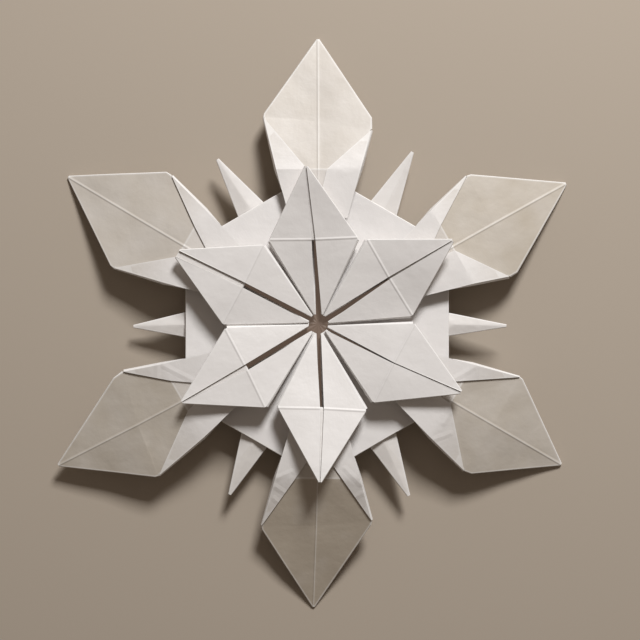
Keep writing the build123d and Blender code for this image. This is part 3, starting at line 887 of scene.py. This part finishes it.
def make_snowflake(paper):
    """The folded sheet in the given material, and how far it was moved to stand on the floor."""
    plain = make_sector()
    mesh, parents = make_sector_mesh(plain)
    piece = bpy.data.objects.new("folded_sheet", mesh)
    bpy.context.scene.collection.objects.link(piece)
    tree, inputs = sheet_tree()
    modifier = piece.modifiers.new("sheet", "NODES")
    modifier.node_group = tree
    for name, value in (("Arms", ARM_COUNT), ("First arm", radians(FIRST_ARM)),
                        ("Buckle height", BUCKLE_HEIGHT), ("Buckles per metre", BUCKLES_PER_METRE),
                        ("Seed", BUCKLE_SEED), ("Paper", paper)):
        modifier[inputs[name]] = value
    piece.data = plain_mesh(piece, "folded_sheet")
    piece.modifiers.clear()
    set_own_marks(piece.data, plain, parents)
    weld = piece.modifiers.new("joining", "WELD")
    weld.merge_threshold = WELD_GAP
    thickness = piece.modifiers.new("thickness", "SOLIDIFY")
    thickness.thickness = PAPER * MM
    thickness.offset = 0
    piece.data = plain_mesh(piece, "folded_sheet")
    piece.modifiers.clear()
    piece.data.shade_smooth()
    piece.data.set_sharp_from_angle(angle=radians(SHARP_ANGLE))
    set_tones(piece.data)
    return piece, settle(piece.data)


def settle(mesh):
    """Sets the snowflake on the floor, its outline's middle over the origin; how far it moved."""
    places = read_values(mesh.vertices, "co", 3)
    low, high = places.min(axis=0), places.max(axis=0)
    move = -np.array(((low[0] + high[0]) / 2, (low[1] + high[1]) / 2, low[2]))
    mesh.vertices.foreach_set("co", (places + move).ravel())
    mesh.update()
    return move


def dress_paper(material, middle):
    """Thin white paper: a painted see-through tan where little lies under it, painted highlights along its
    folds, painted shade on the slits' floors, and crimped.

    The floors of the slits get a painted glow: an emission that stands in for light coming through
    the paper. It is too weak to light anything else, so it isn't sampled as a lamp.
    """
    graph = Graph(material.node_tree)
    shader = material.node_tree.nodes["Principled BSDF"]
    tone = graph.attribute("tone")
    edge_gap = graph.attribute("edge_gap")
    crease_gap = graph.attribute("crease_gap")
    place = graph.node("ShaderNodeTexCoord", output="Object")
    cloud = graph.noise(place, *CLOUD)
    wrinkle = graph.noise(place, *WRINKLE)
    fibre = graph.noise(place, *FIBRE)
    across, along = (graph.node("ShaderNodeSeparateXYZ", None, {"Vector": place}, axis) for axis in "XY")
    crimp_gap = FAR
    for start_across, start_along, end_across, end_along in CRIMPS:
        start = (start_across * MM + middle[0], start_along * MM + middle[1])
        end = (end_across * MM + middle[0], end_along * MM + middle[1])
        crimp_gap = graph.maths("MINIMUM", crimp_gap, graph.distance_to_line(across, along, start, end))
    crimp = graph.maths("MAXIMUM", 1.0 - crimp_gap / CRIMP_REACH, 0.0) * graph.fading(tone, *CRIMP_FADE)

    # The painted see-through tan, mottled by a cloud noise
    mottled = graph.maths("MINIMUM", tone, 1.0) * (TONE_LEAST + TONE_GAIN * cloud)
    # Tones above one paint the slits' floors dark, as painted shade
    slit_floor_shade = graph.maths("MAXIMUM", tone - 1.0, 0.0)
    colour = graph.mix(slit_floor_shade, graph.mix(mottled, WHITE, TAN), SLIT_SHADE_COLOUR)
    # A painted glow on the slits' floors, standing in for light through the paper
    graph.give(shader.inputs["Emission Color"], graph.mix(slit_floor_shade, NO_GLOW, PAINTED_SLIT_GLOW))
    shader.inputs["Emission Strength"].default_value = GLOW_STRENGTH
    material.cycles.emission_sampling = "NONE"
    # Painted highlights along edges and creases, kept off the slits' floors
    edge_highlight = graph.fading(edge_gap, *EDGE_FADE) * EDGE_HIGHLIGHT
    crease_highlight = graph.fading(crease_gap, *CREASE_FADE) * CREASE_HIGHLIGHT
    painted_highlight = graph.maths("MINIMUM", edge_highlight + crease_highlight, 1.0) * (1.0 - slit_floor_shade)
    graph.give(shader.inputs["Base Color"], graph.mix(painted_highlight, colour, HIGHLIGHT_COLOUR))
    graph.give(shader.inputs["Roughness"], ROUGHNESS_LEAST + ROUGHNESS_GAIN * fibre)
    ridge = graph.fading(crease_gap, *RIDGE_FADE) + crimp * CRIMP_HEIGHT
    relief = ridge + fibre * FIBRE_HEIGHT + wrinkle * WRINKLE_HEIGHT
    bump = graph.node("ShaderNodeBump", None, {
        "Strength": BUMP_STRENGTH, "Distance": BUMP_DISTANCE, "Height": relief})
    graph.give(shader.inputs["Normal"], bump)


def make_floor():
    """A plain pale floor in place of the table."""
    mesh = bpy.data.meshes.new("floor")
    corners = [(x * FLOOR_REACH, y * FLOOR_REACH, 0) for x, y in ((-1, -1), (1, -1), (1, 1), (-1, 1))]
    mesh.from_pydata(corners, [], [(0, 1, 2, 3)])
    floor = bpy.data.objects.new("floor", mesh)
    bpy.context.scene.collection.objects.link(floor)
    material = bpy.data.materials.new("pale_floor")
    material.use_nodes = True
    shader = material.node_tree.nodes["Principled BSDF"]
    shader.inputs["Base Color"].default_value = FLOOR_COLOUR
    shader.inputs["Roughness"].default_value = FLOOR_ROUGHNESS
    mesh.materials.append(material)


def make_lights():
    """One soft light from the side that the photograph is lit from, and a dim room."""
    data = bpy.data.lights.new("window", "AREA")
    data.energy = LIGHT_POWER
    data.size = LIGHT_SIZE
    light = bpy.data.objects.new("window", data)
    level = LIGHT_DISTANCE * cos(radians(LIGHT_RISE))
    light.location = turned(level, 0, LIGHT_DISTANCE * sin(radians(LIGHT_RISE)), LIGHT_TURN)
    light.rotation_euler = (-light.location).to_track_quat("-Z", "Y").to_euler()
    bpy.context.scene.collection.objects.link(light)
    world = bpy.data.worlds.new("room")
    bpy.context.scene.world = world
    world.use_nodes = True
    background = world.node_tree.nodes["Background"]
    background.inputs["Color"].default_value = ROOM_COLOUR
    background.inputs["Strength"].default_value = ROOM_STRENGTH


def make_camera(middle):
    """Straight above, at the photograph's scale at the table and with the same framing."""
    data = bpy.data.cameras.new("camera")
    data.sensor_width = SENSOR
    data.lens = SENSOR * CAMERA_HEIGHT / (PICTURE_PIXELS * PIXEL * MM)
    camera = bpy.data.objects.new("camera", data)
    camera.location = (middle[0] + CAMERA_SHIFT[0] * PIXEL * MM,
                       middle[1] + CAMERA_SHIFT[1] * PIXEL * MM, CAMERA_HEIGHT)
    bpy.context.scene.collection.objects.link(camera)
    bpy.context.scene.camera = camera


bpy.context.scene.view_settings.view_transform = "Standard"
folded_paper = bpy.data.materials.new("folded_paper")
folded_paper.use_nodes = True
snowflake, middle_move = make_snowflake(folded_paper)
dress_paper(folded_paper, middle_move)
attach(snowflake, "root")
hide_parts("snowflake")
make_floor()
make_lights()
make_camera(middle_move)
